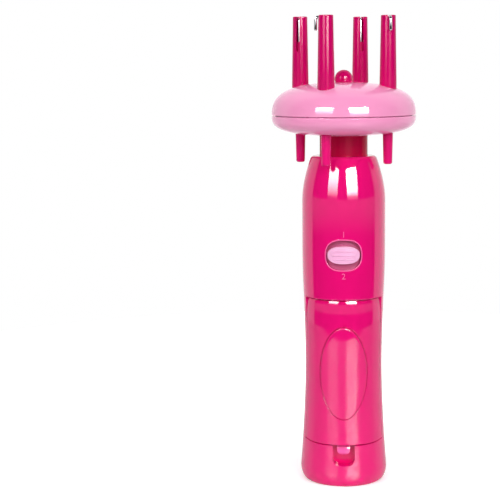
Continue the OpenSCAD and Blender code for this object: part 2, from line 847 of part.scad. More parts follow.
module head_bottom_shell() {
  hub_r = spigot_r + run_fit + clutch_t;
  color("#ff9cc8") difference() {
    union() {
      translate([0, 0, head_seam_z]) difference() {
        lower_form(0);
        lower_form(head_wall);
        translate([0, 0, -seam_gap / 2]) cylinder(r = 2 * head_r, h = 1);
      }
      translate([0, 0, head_bottom_z + hub_floor[0] - 0.2])
        cylinder(r = hub_r + hub_wall, h = hub_top - hub_floor[0] + 0.2);
      intersection() {
        translate([0, 0, head_seam_z]) lower_form(head_wall / 2);
        union() {
          post_places() translate([0, 0, head_bottom_z]) cylinder(r = post_boss_r, h = low_boss_top - head_bottom_z);
          head_screw_places() translate([0, 0, head_bottom_z]) cylinder(r = head_boss_r, h = head_low_h);
        }
      }
    }
    translate([0, 0, head_bottom_z - 1]) cylinder(r = neck_r + seam_gap, h = 1 + hub_floor[0]);
    translate([0, 0, head_bottom_z]) cylinder(r = spigot_r + seam_gap, h = 2 * hub_top);
    translate([0, 0, head_bottom_z + hub_floor[1]]) cylinder(r = hub_r + 0.02, h = hub_top);
    post_places() translate([0, 0, head_bottom_z - 1]) cylinder(r = journal_r + run_fit, h = head_low_h);
    head_screw_places() translate([0, 0, head_bottom_z - 1]) {
      cylinder(r = head_screw_r + screw_fit, h = 2 * head_low_h);
      cylinder(r = screw_head_r + 2 * screw_fit, h = head_screw_seat - head_bottom_z + 1);
    }
  }
}

module head_clutch() {
  color("#9a9da2") translate([0, 0, head_bottom_z + hub_floor[1]]) difference() {
    cylinder(r = spigot_r + run_fit + clutch_t, h = clutch_h);
    translate([0, 0, -1]) cylinder(r = spigot_r + run_fit, h = clutch_h + 2);
  }
}

module drive_clutch() {
  color("#9a9da2") translate([0, 0, drive_clutch_z]) difference() {
    cylinder(r = drive_clutch_r, h = drive_clutch_h);
    translate([0, 0, -1]) cylinder(r = shaft_r + run_fit, h = drive_clutch_h + 2);
  }
}

module centre_knob() {
  color("#c2125f") {
    intersection() {
      translate([0, 0, head_top_z + knob_rise - knob_r]) sphere(r = knob_r);
      translate([0, 0, head_top_z]) cylinder(r = 2 * knob_r, h = 2 * knob_rise);
    }
    translate([0, 0, stem_z]) cylinder(r = stem_r, h = head_top_z - stem_z + 0.5);
  }
}

module head_screws() {
  color("silver") head_screw_places() {
    translate([0, 0, head_screw_seat]) cylinder(r = head_screw_r, h = head_screw_top - head_screw_seat);
    translate([0, 0, head_screw_seat - screw_head_h]) cylinder(r = screw_head_r, h = screw_head_h);
  }
}

module drive_shaft() {
  color("#b8bcc0") translate([0, 0, shaft_z]) cylinder(r = shaft_r, h = shaft_top - shaft_z);
}

module sun_gear() {
  color("#f2efe6") difference() {
    translate([0, 0, gear_z]) linear_extrude(gear_h) polygon(gear_outline(sun_teeth));
    translate([0, 0, gear_z - 1]) cylinder(r = shaft_r + 0.01, h = gear_h + 2);
    for (z = [gear_z - 1, gear_z + gear_h - 1.5]) translate([0, 0, z]) difference() {
      cylinder(r = gear_module * sun_teeth / 2 - 3.2, h = 2.5);
      cylinder(r = shaft_r + 3, h = 2.5);
    }
  }
}

module at_post(i) {
  rotate([0, 0, post_angles[i]]) translate([post_circle, 0, 0]) rotate([0, 0, -post_angles[i]]) children();
}

module post_tube(i) {
  color("#b80d58") at_post(i) difference() {
    rotate_extrude() polygon([
      [0, journal_z], [journal_r, journal_z], [journal_r, post_step_z], [post_r, post_step_z],
      [post_r, gear_z - post_flange_t], [post_flange_r, gear_z - post_flange_t], [post_flange_r, gear_z],
      [post_r, gear_z], [post_r, head_top_z], [post_top_r + 0.05, post_top - 0.4], [post_top_r - 0.35, post_top],
      [0, post_top]
    ]);
    translate([0, 0, journal_z - 1]) cylinder(r = chamber_r, h = chamber_top - journal_z + 1);
    translate([0, 0, journal_z]) cylinder(r = guide_r, h = post_top);
    rotate([0, 0, hook_angles[i]]) {
      translate([-big, -slot_w / 2, post_top - slot_l]) cube([big - 0.5, slot_w, slot_l + 1]);
      translate([0.5, -slot_w / 2, post_top - notch_depth]) cube([big, slot_w, notch_depth + 1]);
    }
  }
}

module post_gear(i) {
  color("#f2efe6") at_post(i) difference() {
    translate([0, 0, gear_z]) rotate([0, 0, pinion_phase(post_angles[i])])
      linear_extrude(gear_h) polygon(gear_outline(pinion_teeth));
    translate([0, 0, gear_z - 1]) cylinder(r = post_r + 0.01, h = gear_h + 2);
  }
}

// The wire stands on the peg's rod, crosses the post's mouth and hangs down outside
function hook_path() = let (
  top = post_top - hook_drop, stem = hook_stem_u, leg = hook_leg_u, b = hook_bend
) concat(
  [[stem, 0, rod_top], [stem, 0, rod_top + 3]],
  [for (a = [0:22.5:90]) [stem + b * (1 - cos(a)), 0, top - b * (1 - sin(a))]],
  [for (a = [0:22.5:90]) [leg - b * (1 - sin(a)), 0, top - b * (1 - cos(a))]],
  [[leg, 0, top - b - 1], [leg, 0, top - hook_leg]]
);

module hook(i) {
  color("#d8dade") at_post(i) rotate([0, 0, hook_angles[i]]) tube(hook_path(), wire_r, 8, [0, 1, 0]);
}

module push_peg(i) {
  low = head_bottom_z - peg_l;
  color("#b80d58") at_post(i) rotate_extrude() polygon(concat(
    [[0, low]],
    [for (a = [0:18:90]) [peg_tip_r - peg_round * (1 - sin(a)), low + peg_round * (1 - cos(a))]],
    [
      [peg_r, head_bottom_z], [peg_r, collar_z], [collar_r, collar_z], [collar_r, collar_z + collar_h],
      [rod_r, collar_z + collar_h], [rod_r, rod_top], [0, rod_top]
    ]
  ));
}

module hook_spring(i) {
  low = collar_z + collar_h + spring_wire_r + 0.05;
  color("silver") at_post(i) translate([0, 0, low])
    tube(helix(spring_r, spring_r, chamber_top - low - spring_wire_r - 0.05, spring_turns), spring_wire_r, 6, [0, 0, 1]);
}

rear_shell();
front_shell();
battery_door();
door_latch();
battery_box();
battery_1();
battery_2();
contact_bridge();
contact_positive();
contact_negative();
lower_spring();
upper_spring();
handle_screws();
motor_can();
motor_cap();
gearbox_case();
gearbox_cover();
gearbox_screws();
switch_body();
switch_screws();
switch_actuator();
switch_slider();
wiring();
neck_tube();
retaining_ring();
head_top_shell();
head_bottom_shell();
head_clutch();
drive_clutch();
centre_knob();
head_screws();
drive_shaft();
sun_gear();
post_tube(0);  // post_tube_1
post_tube(1);  // post_tube_2
post_tube(2);  // post_tube_3
post_tube(3);  // post_tube_4
post_gear(0);  // post_gear_1
post_gear(1);  // post_gear_2
post_gear(2);  // post_gear_3
post_gear(3);  // post_gear_4
hook(0);  // hook_1
hook(1);  // hook_2
hook(2);  // hook_3
hook(3);  // hook_4
push_peg(0);  // push_peg_1
push_peg(1);  // push_peg_2
push_peg(2);  // push_peg_3
push_peg(3);  // push_peg_4
hook_spring(0);  // hook_spring_1
hook_spring(1);  // hook_spring_2
hook_spring(2);  // hook_spring_3
hook_spring(3);  // hook_spring_4
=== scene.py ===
import math

import bpy
from mathutils import Matrix, Vector


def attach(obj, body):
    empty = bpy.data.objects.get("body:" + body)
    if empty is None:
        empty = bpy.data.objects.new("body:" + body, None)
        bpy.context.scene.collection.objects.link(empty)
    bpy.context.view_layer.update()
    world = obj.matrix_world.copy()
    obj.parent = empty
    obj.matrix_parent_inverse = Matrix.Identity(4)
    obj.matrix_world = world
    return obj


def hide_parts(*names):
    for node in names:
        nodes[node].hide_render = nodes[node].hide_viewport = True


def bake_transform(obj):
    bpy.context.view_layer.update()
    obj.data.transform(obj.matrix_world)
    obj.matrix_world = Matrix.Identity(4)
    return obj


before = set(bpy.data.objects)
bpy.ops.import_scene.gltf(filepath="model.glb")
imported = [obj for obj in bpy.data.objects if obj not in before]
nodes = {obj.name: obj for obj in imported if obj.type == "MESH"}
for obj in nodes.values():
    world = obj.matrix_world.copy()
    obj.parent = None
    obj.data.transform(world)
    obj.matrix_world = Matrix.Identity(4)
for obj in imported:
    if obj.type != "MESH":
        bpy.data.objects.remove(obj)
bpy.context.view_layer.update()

# Camera
# A long lens in front of the tool, a little above its head and looking down at it.
# It is turned to the left, so that the tool stands in the right part of the picture.
camera_lens, camera_sensor, camera_near = 106.85, 36, 0.01
camera_place = (0, -0.745, 0.2153)
camera_turn, camera_pitch, camera_roll = (math.radians(a) for a in (3.64, 7.46, 0.473))
camera_data = bpy.data.cameras.new("camera")
camera_data.lens = camera_lens
camera_data.sensor_width = camera_sensor
camera_data.clip_start = camera_near
camera = bpy.data.objects.new("camera", camera_data)
bpy.context.scene.collection.objects.link(camera)
camera.matrix_world = (
    Matrix.Translation(camera_place)
    @ Matrix.Rotation(camera_turn, 4, "Z")
    @ Matrix.Rotation(math.pi / 2 - camera_pitch, 4, "X")
    @ Matrix.Rotation(-camera_roll, 4, "Z")
)
bpy.context.scene.camera = camera

# Cells, battery box and contacts
# Two steel cells in plain dark jackets lie side by side in a moulded box, between nickel-plated contacts.
# They show when the battery door is open.


def preset(part, **values):
    """Sets a shader node's inputs. A low dash stands for a space in an input's name."""
    for name, value in values.items():
        part.inputs[name.replace("_", " ")].default_value = value
    return part


def node(tree, kind, settings=(), **values):
    """A new shader node with its own settings and inputs."""
    part = tree.nodes.new("ShaderNode" + kind)
    for name, value in dict(settings).items():
        setattr(part, name, value)
    return preset(part, **values)


def link(tree, source, output, target, socket):
    """Joins one node's output to another's input."""
    tree.links.new(source.outputs[output], target.inputs[socket])


def blank_finish(name, **values):
    """A new material, its node tree, and its shader with these inputs set."""
    finish = bpy.data.materials.new(name)
    finish.use_nodes = True
    tree = finish.node_tree
    return finish, tree, preset(tree.nodes["Principled BSDF"], **values)


def tinted(colour, share):
    """A colour made lighter or darker, with full alpha."""
    return (*[min(1, c * share) for c in colour], 1)


def surface(tree, shader, tint, sheen, bump):
    """Gives a shader its colour, its sheen and its relief."""
    link(tree, tint, "Result", shader, "Base Color")
    link(tree, sheen, "Result", shader, "Roughness")
    link(tree, bump, "Normal", shader, "Normal")


def plain_finish(name, colour, roughness, metallic=0.0):
    """A finish with a fine grain in its colour, its sheen and its surface."""
    grain, relief = 0.0006, 0.00003
    finish, tree, shader = blank_finish(name, Metallic=metallic)
    where = node(tree, "TexCoord")
    speckle = node(tree, "TexNoise", Scale=1 / grain, Detail=3)
    tint = node(tree, "Mix", {"data_type": "RGBA"}, A=tinted(colour, 0.88), B=tinted(colour, 1))
    sheen = node(tree, "MapRange", To_Min=roughness * 0.8, To_Max=roughness * 1.2)
    bump = node(tree, "Bump", Strength=0.15, Distance=relief)
    link(tree, where, "Object", speckle, "Vector")
    link(tree, speckle, "Fac", tint, "Factor")
    link(tree, speckle, "Fac", sheen, "Value")
    link(tree, speckle, "Fac", bump, "Height")
    surface(tree, shader, tint, sheen, bump)
    return finish


def dress(finish, *names):
    """Gives CAD nodes a finish."""
    for name in names:
        nodes[name].data.materials.clear()
        nodes[name].data.materials.append(finish)


steel = plain_finish("plain_steel", (0.6, 0.6, 0.62), 0.32, metallic=1.0)
nickel = plain_finish("nickel_plate", (0.72, 0.71, 0.68), 0.22, metallic=1.0)
dress(plain_finish("cell_jacket", (0.05, 0.055, 0.065), 0.35), "battery_1", "battery_2")
dress(plain_finish("box_moulding", (0.5, 0.008, 0.1), 0.4), "battery_box")
dress(nickel, "contact_bridge", "contact_positive", "contact_negative")
dress(steel, "lower_spring", "upper_spring")

# Motor, gearbox, switch body and wires
# A round motor with flats and its white end cap drives a black gearbox that four screws hold shut.
# A black slide switch sits in front of it, and sleeved wires join them to the contacts.
black = plain_finish("black_moulding", (0.02, 0.02, 0.022), 0.45)
white = plain_finish("white_moulding", (0.85, 0.84, 0.8), 0.4)
dress(steel, "motor_can", "gearbox_screws", "switch_screws", "handle_screws")
dress(white, "motor_cap", "switch_actuator")
dress(black, "gearbox_case", "gearbox_cover", "switch_body")
dress(plain_finish("wire_sleeve", (0.4, 0.02, 0.02), 0.5), "wiring")

# Shaft, gears, clutches and ring inside the head
# The steel shaft carries a white sun gear, which turns a white pinion on each post.
# Steel sleeves and a spring ring hold the head on the neck.
dress(steel, "drive_shaft", "head_clutch", "drive_clutch", "retaining_ring", "head_screws")
dress(white, "sun_gear", "post_gear_1", "post_gear_2", "post_gear_3", "post_gear_4")

# Rear and front shells of the handle
# Two glossy magenta mouldings with 2 mm walls, parted down the sides and screwed together from behind.
# The front one has the switch window, the battery opening and the finger notch in its base.


def gloss_moulding(name, colour, roughness=0.03, specular=0.5):
    """Glossy plastic: a faint flow of colour, a slightly wavy skin and edges that the mould rounds."""
    edge, relief = 0.0002, 0.00001
    finish, tree, shader = blank_finish(name, IOR=1.5, Specular_IOR_Level=specular)
    where = node(tree, "TexCoord")
    flow = node(tree, "TexNoise", Scale=30, Detail=2)
    skin = node(tree, "TexNoise", Scale=160, Detail=2)
    tint = node(tree, "Mix", {"data_type": "RGBA"}, A=tinted(colour, 0.96), B=tinted(colour, 1.03))
    gloss = node(tree, "MapRange", To_Min=roughness * 0.8, To_Max=roughness * 1.3)
    rounded = node(tree, "Bevel", {"samples": 6}, Radius=edge)
    bump = node(tree, "Bump", Strength=0.008, Distance=relief)
    link(tree, where, "Object", flow, "Vector")
    link(tree, where, "Object", skin, "Vector")
    link(tree, flow, "Fac", tint, "Factor")
    link(tree, flow, "Fac", gloss, "Value")
    link(tree, skin, "Fac", bump, "Height")
    link(tree, rounded, "Normal", bump, "Normal")
    surface(tree, shader, tint, gloss, bump)
    return finish


def chain(name, points):
    """A row of edges through points in millimetres, drawn out of one vertex, and left in edit mode."""
    bpy.ops.object.select_all(action="DESELECT")
    bpy.ops.mesh.primitive_plane_add(size=0.001)
    piece = bpy.context.object
    piece.name = piece.data.name = name
    bpy.ops.object.mode_set(mode="EDIT")
    bpy.ops.mesh.select_all(action="SELECT")
    bpy.ops.mesh.merge(type="CENTER")
    bpy.ops.transform.translate(value=[c / 1000 for c in points[0]])
    for here, there in zip(points, points[1:]):
        step = [(b - a) / 1000 for a, b in zip(here, there)]
        bpy.ops.mesh.extrude_vertices_move(TRANSFORM_OT_translate={"value": step})
    bpy.ops.mesh.select_all(action="SELECT")
    return piece


weld = 0.000002


def turned(name, outline, steps=160):
    """Spins an outline of radius and height, in millimetres, round the Z axis."""
    piece = chain(name, [(r, 0, z) for r, z in outline])
    bpy.ops.mesh.spin(steps=steps, angle=2 * math.pi, center=(0, 0, 0), axis=(0, 0, 1))
    bpy.ops.mesh.select_all(action="SELECT")
    bpy.ops.mesh.remove_doubles(threshold=weld)
    bpy.ops.mesh.normals_make_consistent(inside=False)
    bpy.ops.object.mode_set(mode="OBJECT")
    return piece


def prism(name, outline, near, far):
    """A block with an outline of X and Z, in millimetres, that runs from Y near to Y far."""
    piece = chain(name, [(x, near, z) for x, z in outline + outline[:1]])
    bpy.ops.mesh.remove_doubles(threshold=weld)
    bpy.ops.mesh.edge_face_add()
    bpy.ops.mesh.extrude_region_move(TRANSFORM_OT_translate={"value": (0, (far - near) / 1000, 0)})
    bpy.ops.mesh.select_all(action="SELECT")
    bpy.ops.mesh.normals_make_consistent(inside=False)
    bpy.ops.object.mode_set(mode="OBJECT")
    return piece


def rod(radius, low, high, x=0.0, y=0.0, vertices=64):
    """An upright cylinder that serves as a cutter or a boss."""
    bpy.ops.object.select_all(action="DESELECT")
    bpy.ops.mesh.primitive_cylinder_add(
        vertices=vertices, radius=radius / 1000, depth=(high - low) / 1000,
        location=(x / 1000, y / 1000, (low + high) / 2000),
    )
    bpy.ops.object.transform_apply(location=True, rotation=True, scale=True)
    return bpy.context.object


def pick(piece, *others):
    """Selects these pieces alone, and makes the first of them active."""
    bpy.ops.object.select_all(action="DESELECT")
    for one in (piece, *others):
        one.select_set(True)
    bpy.context.view_layer.objects.active = piece


def sawn(piece, point, away):
    """Cuts a piece at a plane, drops the side that the arrow points to and closes the cut."""
    pick(piece)
    bpy.ops.object.mode_set(mode="EDIT")
    bpy.ops.mesh.select_all(action="SELECT")
    bpy.ops.mesh.bisect(
        plane_co=[c / 1000 for c in point], plane_no=away, use_fill=True, clear_outer=True, threshold=0.000001
    )
    bpy.ops.object.mode_set(mode="OBJECT")
    return piece


def wedge(piece, start, stop):
    """Keeps the part of a turned piece between two directions in degrees."""
    for angle, side in ((math.radians(stop), 1), (math.radians(start), -1)):
        sawn(piece, (0, 0, 0), (-side * math.sin(angle), side * math.cos(angle), 0))
    return piece


def cut(piece, cutter, operation="DIFFERENCE"):
    """Cuts a piece with another, which is then used up."""
    pick(piece)
    step = piece.modifiers.new("cut", "BOOLEAN")
    step.operation = operation
    step.solver = "EXACT"
    step.object = cutter
    bpy.ops.object.modifier_apply(modifier=step.name)
    bpy.data.objects.remove(cutter)
    return piece


def soften(piece, width, place, sharpness=40, segments=3):
    """Rounds the sharp edges that lie where place says, given X, Y and Z in millimetres."""
    pick(piece)
    bpy.ops.object.mode_set(mode="EDIT")
    bpy.ops.mesh.select_mode(type="EDGE")
    bpy.ops.mesh.select_all(action="DESELECT")
    bpy.ops.mesh.edges_select_sharp(sharpness=math.radians(sharpness))
    bpy.ops.object.mode_set(mode="OBJECT")
    near = [place(*[c * 1000 for c in vertex.co]) for vertex in piece.data.vertices]
    wanted = [edge.index for edge in piece.data.edges if edge.select and all(near[v] for v in edge.vertices)]
    bpy.ops.object.mode_set(mode="EDIT")
    bpy.ops.mesh.select_all(action="DESELECT")
    bpy.ops.object.mode_set(mode="OBJECT")
    for index in wanted:
        piece.data.edges[index].select = True
    bpy.ops.object.mode_set(mode="EDIT")
    bpy.ops.mesh.bevel(offset=width / 1000, segments=segments, affect="EDGES", clamp_overlap=True)
    bpy.ops.mesh.select_mode(type="VERT")
    bpy.ops.object.mode_set(mode="OBJECT")
    return piece


def joined(piece, *others):
    """Makes several meshes one piece."""
    pick(piece, *others)
    bpy.ops.object.join()
    return piece


def coated(piece, finish, angle=30):
    """Smooths a piece and gives it its finish."""
    pick(piece)
    bpy.ops.object.shade_smooth_by_angle(angle=math.radians(angle))
    piece.data.materials.clear()
    piece.data.materials.append(finish)
    return piece


def finished(piece, finish, body, slot, *replaced, angle=30):
    """Puts a coated piece on its body, in place of the CAD nodes."""
    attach(coated(piece, finish, angle), body)
    if replaced:
        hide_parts(*replaced)
    return piece


handle_height = 165.5
foot_radius, base_radius, base_height = 18.3, 21.9, 6.9
waist_radius, waist_height = 19.4, 60.5
seam_radius, seam_height = 20.25, 95.0
barrel_radius, barrel_height = 20.95, 120.0
shoulder_height, shoulder_radius, rim_height = 143.0, 17.1, 2.7
rim_round = 2.2
waist_power, shoulder_power = 1.7, 1.8
wall, floor_thickness = 2.0, 2.5
mouth_radius = 12.3
door_edge, door_length = 7.0, 73.7
rim_low = handle_height - rim_height


def handle_radius(z):
    """The outside radius of the handle at a height: foot, waist, barrel and shoulder."""
    if z < base_height:
        share = (base_height - z) / base_height
        return foot_radius + (base_radius - foot_radius) * math.sqrt(1 - share ** 2)
    if z < waist_height:
        share = (waist_height - z) / (waist_height - base_height)
        return waist_radius + (base_radius - waist_radius) * share ** waist_power
    if z < seam_height:
        share = (z - waist_height) / (seam_height - waist_height)
        return waist_radius + (seam_radius - waist_radius) * share ** waist_power
    if z < barrel_height:
        share = (barrel_height - z) / (barrel_height - seam_height)
        return barrel_radius - (barrel_radius - seam_radius) * share ** 2
    if z < shoulder_height:
        return barrel_radius
    share = (z - shoulder_height) / (rim_low - shoulder_height)
    return barrel_radius - (barrel_radius - shoulder_radius) * share ** shoulder_power


def levels(low, high, count):
    """Evenly spaced values from low to high, with both ends."""
    return [low + (high - low) * i / count for i in range(count + 1)]


def handle_outline():
    """The outside, the rounded brink of the mouth and the inside of a 2 mm wall on a thicker floor."""
    quarter = [math.radians(a) for a in range(0, 91, 9)]
    lean = math.atan(shoulder_power * (barrel_radius - shoulder_radius) / (rim_low - shoulder_height))
    brink = handle_height - rim_round * (1 - math.sin(lean))
    outside = [base_height * (1 - math.cos(a)) for a in quarter] + levels(base_height, brink, 110)[1:]
    outline = [(0, 0)] + [(handle_radius(z), z) for z in outside]
    middle = handle_radius(brink) - rim_round * math.cos(lean)
    outline += [
        (middle + rim_round * math.cos(a), handle_height - rim_round * (1 - math.sin(a)))
        for a in levels(lean, math.pi / 2, 8)[1:]
    ]
    under_rim = rim_low - 0.001
    outline += [(mouth_radius, handle_height), (mouth_radius, under_rim)]
    outline += [(handle_radius(z) - wall, z) for z in levels(under_rim, floor_thickness, 40)]
    return outline + [(0, floor_thickness)]


def door_room(gap):
    """The space of the battery door, whose lower edge is part of a circle about its hinge."""
    bpy.ops.object.select_all(action="DESELECT")
    room_width = 120
    bpy.ops.mesh.primitive_cylinder_add(
        vertices=720, radius=(door_length - gap) / 1000, depth=room_width / 1000,
        location=(0, -seam_radius / 1000, seam_height / 1000), rotation=(0, math.pi / 2, 0),
    )
    room = bpy.context.object
    bpy.ops.object.transform_apply(location=True, rotation=True, scale=True)
    sawn(room, (0, 0, seam_height - gap), (0, 0, 1))
    return sawn(room, (0, -door_edge - gap, 0), (0, 1, 0))


def on_skin(x, y, z, slack=0.06):
    """Whether a point lies on the outside of the handle."""
    return abs(math.hypot(x, y) - handle_radius(z)) < slack


magenta = gloss_moulding("magenta_moulding", (0.8, 0.003, 0.168))
screw_rows = ((9, 11), (12, 99.3), (13, 147.6))
screw_hole, screw_seat, far_back, far_front = 2.3, 8, 40, -30
full_turn = [math.radians(a) for a in range(0, 360, 10)]
rear = sawn(turned("rear_half", handle_outline()), (0, 0, 0), (0, -1, 0))
for screw_x, screw_z in [(side * x, z) for x, z in screw_rows for side in (1, -1)]:
    hole = [(screw_x + screw_hole * math.cos(a), screw_z + screw_hole * math.sin(a)) for a in full_turn]
    cut(rear, prism("screw_hole", hole, screw_seat, far_back))
finished(rear, magenta, "handle", "handle_plastic", "rear_shell")

front = sawn(turned("front_half", handle_outline()), (0, 0, 0), (0, 1, 0))
cut(front, door_room(0))
window_width, window_tall, window_middle, window_power = 17.3, 14.9, 117.5, 2.6
window_round, window_floor, window_slack = 0.4, -12, 0.1


def oval(width, tall, middle, power, count=72):
    """An oval of X and Z: an ellipse at power 2, and squarer above it."""
    points = []
    for a in (2 * math.pi * i / count for i in range(count)):
        across, up = math.cos(a), math.sin(a)
        points.append((
            width / 2 * math.copysign(abs(across) ** (2 / power), across),
            middle + tall / 2 * math.copysign(abs(up) ** (2 / power), up),
        ))
    return points


window_line = oval(window_width, window_tall, window_middle, window_power)
cut(front, prism("window_cutter", window_line, far_front, window_floor))
notch_width, notch_tall, notch_corner, notch_floor = 11.0, 10.1, 3.6, 14.8
pocket_wall, pocket_front, notch_rise = 1.5, -19.6, 4
door_bottom = seam_height - door_length


def notch_outline(grow, top):
    """The finger notch seen from the front, grown at its sides and foot."""
    across, middle = notch_width / 2 - notch_corner, door_bottom - notch_tall + notch_corner
    corner = notch_corner + grow
    arc = [
        (side * across + corner * math.sin(a), middle - corner * math.cos(a))
        for side, turns in ((-1, levels(-math.pi / 2, 0, 10)), (1, levels(0, math.pi / 2, 10))) for a in turns
    ]
    return arc + [(arc[-1][0], door_bottom + top), (arc[0][0], door_bottom + top)]


pocket = prism("notch_pocket", notch_outline(pocket_wall, 0), pocket_front, pocket_wall - notch_floor)
cut(front, pocket, "UNION")
cut(front, prism("notch_cutter", notch_outline(0, notch_rise), far_front, -notch_floor))
soften(front, window_round, lambda x, y, z: (
    on_skin(x, y, z)
    and abs(x) < window_width / 2 + window_slack
    and abs(z - window_middle) < window_tall / 2 + window_slack
))
hem_round, hem_slack, base_edge_round = 0.7, 0.02, 0.45
base_edge_low, base_edge_high, base_edge_half, base_edge_back = 8, 30, 19, -6
soften(front, hem_round, lambda x, y, z: on_skin(x, y, z) and abs(z - seam_height) < hem_slack)
soften(front, base_edge_round, lambda x, y, z: (
    on_skin(x, y, z) and base_edge_low < z < base_edge_high and abs(x) < base_edge_half and y < base_edge_back
))
finished(front, magenta, "handle", "handle_plastic", "front_shell")

# Battery door
# A glossy moulding that fills the front of the handle below the seam, with a rolled upper edge.
# A fine moat is cut round the place of its oval pad, and two lugs hook in behind the front shell.
door_gap, door_foot, door_round = 0.55, 18, 0.4
door_top = seam_height - door_gap
door_roll, roll_start, roll_stop = 6.0, math.radians(4), math.radians(24)
door_bow, bow_start = 116.0, math.radians(-1.5)
roll_low = door_top - door_roll * (math.sin(roll_stop) - math.sin(roll_start))
bow_low = roll_low - door_bow * (math.sin(roll_start) - math.sin(bow_start))
roll_radius = handle_radius(bow_low) - door_bow * (math.cos(bow_start) - math.cos(roll_start))
door_line = [(handle_radius(z), z) for z in levels(door_foot, bow_low, 60)]


def door_arc(radius, start, stop, count):
    """Points on an arc of the door's outline that runs through the foot of its rolled edge."""
    return [
        (roll_radius - radius * (math.cos(roll_start) - math.cos(a)),
         roll_low + radius * (math.sin(a) - math.sin(roll_start)))
        for a in levels(start, stop, count)[1:]
    ]


door_line += door_arc(door_bow, bow_start, roll_start, 16) + door_arc(door_roll, roll_start, roll_stop, 12)
door_line += [(handle_radius(z) - wall, z) for z in levels(door_top, door_foot, 24)]
door = turned("door_panel", door_line + door_line[:1])
sawn(door, (0, -door_edge - door_gap, 0), (0, 1, 0))
cut(door, door_room(door_gap), "INTERSECT")
soften(door, door_round, lambda x, y, z: on_skin(x, y, z) and z < bow_low, sharpness=50)
lug_out, lug_thick, lug_tall = seam_radius - wall - door_gap, 1.7, 2.4
lug_in, lug_root = lug_out - lug_thick, lug_out + wall / 2
lug_top, lug_shelf = seam_height + lug_tall, door_top - 0.5
lug_low_in, lug_low_out = door_top - 4, door_top - 6
lug_line = [
    (lug_in, lug_low_in), (lug_root, lug_low_out), (lug_root, lug_shelf),
    (lug_out, lug_shelf), (lug_out, lug_top), (lug_in, lug_top),
]
lug_spans = ((-116, -102), (-78, -64))
for lug_start, lug_stop in lug_spans:
    joined(door, wedge(turned("lug", lug_line + lug_line[:1]), lug_start, lug_stop))
pad_width, pad_length, pad_middle = 23.2, 46.5, 58.0
pad_rise, pad_foot, pad_round, pad_depth = 1.0, 0.35, 0.5, 1.8
pad_margin, pad_core, pad_clear = 1.5, 10, 0.2
moat_width, moat_depth, moat_reach = 0.35, 0.6, 30
moat_front, moat_back = -40, -8
pad_low = pad_middle - pad_length / 2
pad_levels = levels(pad_low - pad_margin, pad_low + pad_length + pad_margin, 60)
moat_line = [(handle_radius(z) - moat_depth, z) for z in pad_levels]
moat_line += [(moat_reach, pad_levels[-1]), (moat_reach, pad_levels[0]), moat_line[0]]
moat = turned("moat", moat_line, 240)
moat_oval = oval(pad_width + 2 * moat_width, pad_length + 2 * moat_width, pad_middle, 2, 128)
cut(door, cut(moat, prism("moat_outline", moat_oval, moat_front, moat_back), "INTERSECT"))
finished(door, magenta, "door", "handle_plastic", "battery_door")

# Door pad
# A raised oval of the door's own plastic, drawn as shrinking rings and laid on the door's curve.
# It stands out most at its upper end, and its rim is rounded.
pad_shrinks = (0.91, 0.93, 0.9, 0.88, 0.85, 0.8, 0.72, 0.6, 0.4)
pad_lean = pad_rise - pad_foot
pad_line = [
    (handle_radius(z) + pad_rise - pad_lean * (1 - (z - pad_low) / pad_length) ** 2, z)
    for z in pad_levels
]
pad_ends = [(pad_core, pad_levels[-1]), (pad_core, pad_levels[0])]
pad_form = turned("pad_form", pad_ends[1:] + pad_line + pad_ends, 240)
bpy.ops.object.select_all(action="DESELECT")
pad_place = (0, far_front / 1000, pad_middle / 1000)
bpy.ops.mesh.primitive_circle_add(
    vertices=128, radius=0.001, location=pad_place, rotation=(math.pi / 2, 0, 0)
)
pad = bpy.context.object
pad.name = pad.data.name = "door_pad"
bpy.ops.object.transform_apply(location=True, rotation=True, scale=True)
bpy.ops.object.mode_set(mode="EDIT")
bpy.ops.mesh.select_all(action="SELECT")
bpy.ops.transform.resize(value=(pad_width / 2, 1, pad_length / 2), center_override=pad_place)
for shrink in pad_shrinks:
    bpy.ops.mesh.extrude_edges_move()
    bpy.ops.transform.resize(value=(shrink, 1, shrink), center_override=pad_place)
bpy.ops.mesh.merge(type="CENTER")
bpy.ops.object.mode_set(mode="OBJECT")
wrap = pad.modifiers.new("lie_on_form", "SHRINKWRAP")
wrap.wrap_method = "PROJECT"
wrap.use_project_y = True
wrap.use_positive_direction = True
wrap.target = pad_form
bpy.ops.object.modifier_apply(modifier=wrap.name)
bpy.data.objects.remove(pad_form)
bpy.ops.object.mode_set(mode="EDIT")
bpy.ops.mesh.select_mode(type="EDGE")
bpy.ops.mesh.select_all(action="DESELECT")
bpy.ops.mesh.select_non_manifold()
bpy.ops.mesh.extrude_edges_move(TRANSFORM_OT_translate={"value": (0, pad_depth / 1000, 0)})
bpy.ops.mesh.edge_face_add()
bpy.ops.mesh.select_all(action="SELECT")
bpy.ops.mesh.normals_make_consistent(inside=False)
bpy.ops.mesh.select_mode(type="VERT")
bpy.ops.object.mode_set(mode="OBJECT")
soften(pad, pad_round, lambda x, y, z: math.hypot(x, y) > handle_radius(z) + pad_clear, segments=4)
finished(pad, magenta, "door", "handle_plastic", angle=50)

